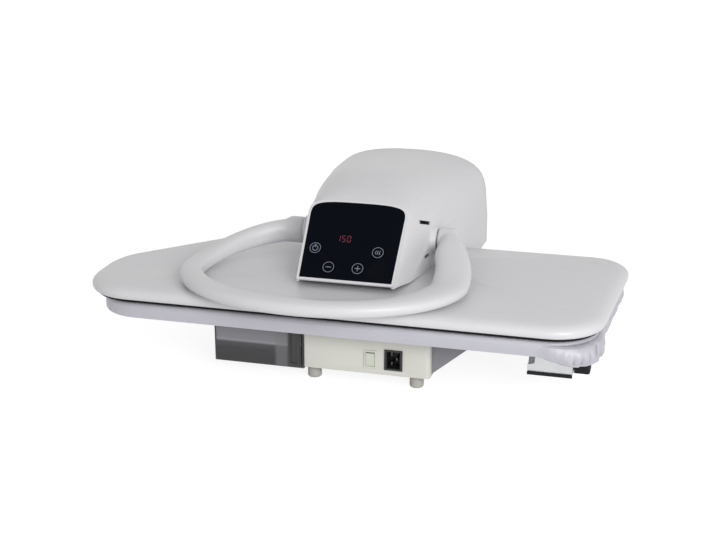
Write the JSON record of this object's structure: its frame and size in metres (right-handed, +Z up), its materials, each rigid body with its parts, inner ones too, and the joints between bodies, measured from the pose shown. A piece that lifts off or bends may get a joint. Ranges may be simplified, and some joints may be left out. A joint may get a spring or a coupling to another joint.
{
  "type": "steam ironing press",
  "caption": "Table-top steam ironing press with a padded board on a low base and a heated shoe on a rear hinge, closed and locked by a loop handle on an arched head.",
  "frame": {"origin": "on the table, under the middle of the closed press", "axes": "+X along the board to the right, +Y to the rear hinge, +Z up"},
  "size_m": [0.6449, 0.483, 0.219],
  "materials": {
    "grey_plastic": "satin, dark grey",
    "cream_plastic": "satin, warm off-white",
    "cream_rubber": "matt",
    "black_plastic": "satin black",
    "zinc_steel": "zinc plated sheet",
    "bronze": "sintered bronze",
    "hose_silicone": "silicone hose",
    "pan_steel": "painted sheet",
    "foam": "open foam",
    "cover_cloth": "silver-coated woven cloth",
    "dark_steel": "oiled spring steel",
    "rubber": "matt",
    "smoked_plastic": "smoked, translucent",
    "aluminium": "cast, dark at the edge",
    "mineral_wool": "pressed insulation",
    "white_plastic": "smooth satin, cool off-white",
    "black_glass": "polished black",
    "red_display": "red digit module",
    "board_green": "circuit board"
  },
  "bodies": {
    "base": {"base_tub": "grey_plastic", "base_plate": "grey_plastic", "rear_cowl": "cream_plastic", "control_fascia": "cream_plastic", "tank_bay": "grey_plastic", "rubber_feet": "cream_rubber", "rocker_frame": "cream_plastic", "inlet_body": "black_plastic", "inlet_pins": "zinc_steel", "tank_valve": "bronze", "water_pump": "grey_plastic", "hose_lower": "hose_silicone", "loom_lower": "black_plastic", "board_pan": "pan_steel", "foam_pad": "foam", "board_cover": "cover_cloth", "rear_bracket": "zinc_steel", "hinge_pin": "zinc_steel", "torsion_springs": "dark_steel", "end_bracket": "zinc_steel", "bracket_buffer": "rubber", "base_screws": "dark_steel"},
    "tank": {"water_tank": "smoked_plastic", "tank_pull": "black_plastic"},
    "cap": {"filler_cap": "black_plastic"},
    "rocker": {"rocker": "cream_plastic"},
    "press_head": {"heat_plate": "aluminium", "heating_element": "dark_steel", "steam_chamber": "aluminium", "insulation": "mineral_wool", "thermostat": "zinc_steel", "shoe_cover": "white_plastic", "head_shell": "white_plastic", "panel_bezel": "white_plastic", "panel_glass": "black_glass", "display": "red_display", "control_board": "board_green", "press_arm": "zinc_steel", "hinge_bushes": "bronze", "post_guide": "bronze", "post_spring": "dark_steel", "hose_upper": "hose_silicone", "loom_upper": "black_plastic"},
    "handle": {"handle": "white_plastic", "lever_shaft": "zinc_steel", "pressure_cam": "dark_steel"},
    "pressure_post": {"pressure_post": "zinc_steel"},
    "key_power": {"key_power": "black_glass"},
    "key_cooler": {"key_cooler": "black_glass"},
    "key_hotter": {"key_hotter": "black_glass"},
    "key_steam": {"key_steam": "black_glass"}
  },
  "joints": [
    {"name": "head_lift", "type": "hinge", "parent": "base", "child": "press_head", "pos_m": [0, 0.1965, 0.1], "axis": [-1, 0, 0], "range_deg": [0, 35]},
    {"name": "handle_lever", "type": "hinge", "parent": "press_head", "child": "handle", "pos_m": [0, 0.0035, 0.142], "axis": [-1, 0, 0], "range_deg": [0, 18]},
    {"name": "post_slide", "type": "slide", "parent": "press_head", "child": "pressure_post", "axis": [0, 0, 1], "range_m": [0, 0.0015]},
    {"name": "rocker_tilt", "type": "hinge", "parent": "base", "child": "rocker", "pos_m": [0.038, -0.1455, 0.036], "axis": [-1, 0, 0], "range_deg": [0, 8]},
    {"name": "tank_slide", "type": "slide", "parent": "base", "child": "tank", "axis": [0, -1, 0], "range_m": [0, 0.11]},
    {"name": "cap_turn", "type": "hinge", "parent": "tank", "child": "cap", "pos_m": [-0.103, -0.1035, 0.0625], "axis": [0, 0, 1], "range_deg": [0, 90]},
    {"name": "power_press", "type": "slide", "parent": "press_head", "child": "key_power", "axis": [0, 0.7314, -0.682], "range_m": [0, 0.0008], "stiffness_N_per_m": 1000, "springref_m": -0.0005},
    {"name": "cooler_press", "type": "slide", "parent": "press_head", "child": "key_cooler", "axis": [0, 0.7314, -0.682], "range_m": [0, 0.0008], "stiffness_N_per_m": 1000, "springref_m": -0.0005},
    {"name": "hotter_press", "type": "slide", "parent": "press_head", "child": "key_hotter", "axis": [0, 0.7314, -0.682], "range_m": [0, 0.0008], "stiffness_N_per_m": 1000, "springref_m": -0.0005},
    {"name": "steam_press", "type": "slide", "parent": "press_head", "child": "key_steam", "axis": [0, 0.7314, -0.682], "range_m": [0, 0.0008], "stiffness_N_per_m": 1000, "springref_m": -0.0005}
  ],
  "couplings": [
    {"joint": "post_slide", "follows": "handle_lever", "m_per_rad": 0.00477}
  ]
}
